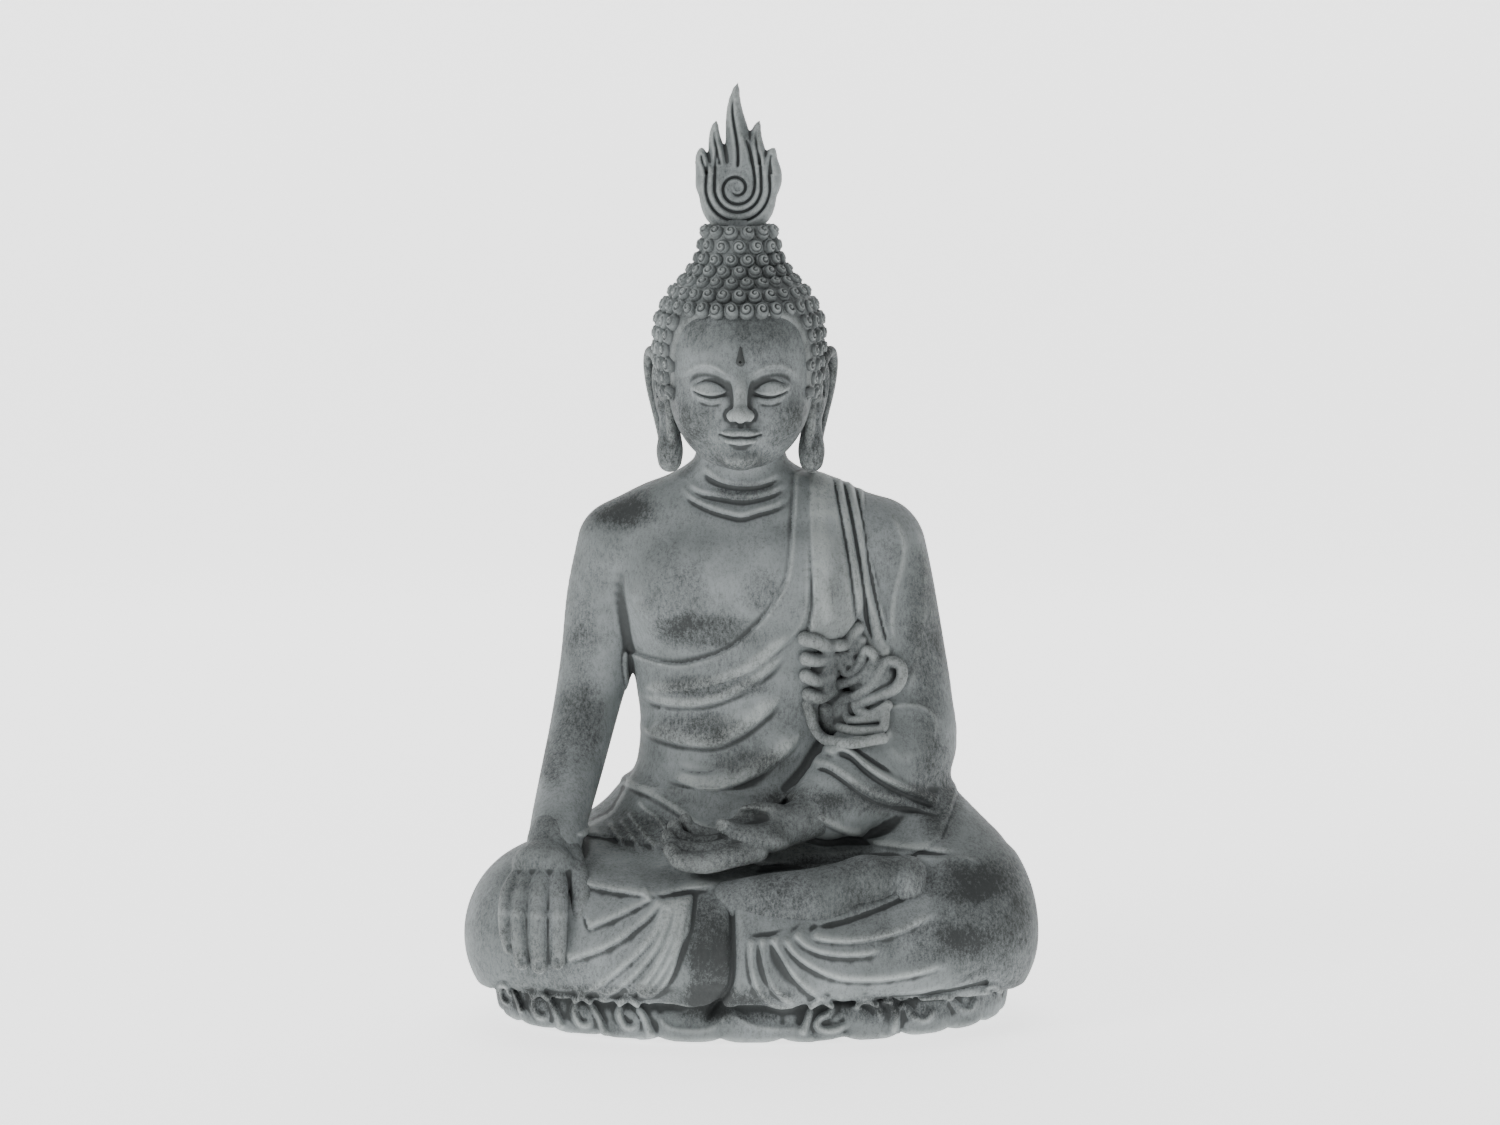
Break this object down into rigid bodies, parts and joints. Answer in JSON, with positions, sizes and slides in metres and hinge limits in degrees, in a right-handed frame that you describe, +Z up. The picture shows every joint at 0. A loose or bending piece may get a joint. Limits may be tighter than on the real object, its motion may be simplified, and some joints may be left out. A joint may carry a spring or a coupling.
{
  "type": "buddha statue",
  "caption": "Seated garden statue of a Buddha with one hand over the knee, curled hair, a draped robe and a lift-off flame finial, on a scalloped hem base.",
  "frame": {"origin": "on the ground under the middle of the statue's bounding box, where the rubber feet rest", "axes": "+Z up; the figure faces -Y; +X points to the figure's own left, the viewer's right"},
  "size_m": [0.4192, 0.262, 0.7],
  "materials": {
    "cast_stone": "matt grey-green cast stone with a dark wash",
    "dark_cast_stone": "matt cast stone under a heavier dark wash",
    "base_board": "raw fibre-cement board",
    "fixings": "zinc-plated steel",
    "feet_rubber": "black rubber"
  },
  "bodies": {
    "statue": {"base_hem": "cast_stone", "closing_plate": "base_board", "plate_screws": "fixings", "rubber_feet": "feet_rubber", "crossed_legs": "cast_stone", "right_foot": "cast_stone", "torso": "cast_stone", "shoulder_sash": "cast_stone", "sash_folds": "dark_cast_stone", "left_sleeve": "cast_stone", "left_hand": "dark_cast_stone", "right_arm": "cast_stone", "right_hand": "cast_stone", "arm_rod": "fixings", "head": "cast_stone", "right_ear": "cast_stone", "left_ear": "cast_stone", "urna": "dark_cast_stone", "hair_cap": "dark_cast_stone", "ushnisha": "dark_cast_stone", "hair_curls": "dark_cast_stone", "finial_socket": "fixings"},
    "finial": {"flame_finial": "cast_stone", "finial_rod": "fixings"}
  },
  "joints": [
    {"name": "finial_lift", "type": "slide", "parent": "statue", "child": "finial", "axis": [0, 0, 1], "range_m": [0, 0.04]}
  ]
}
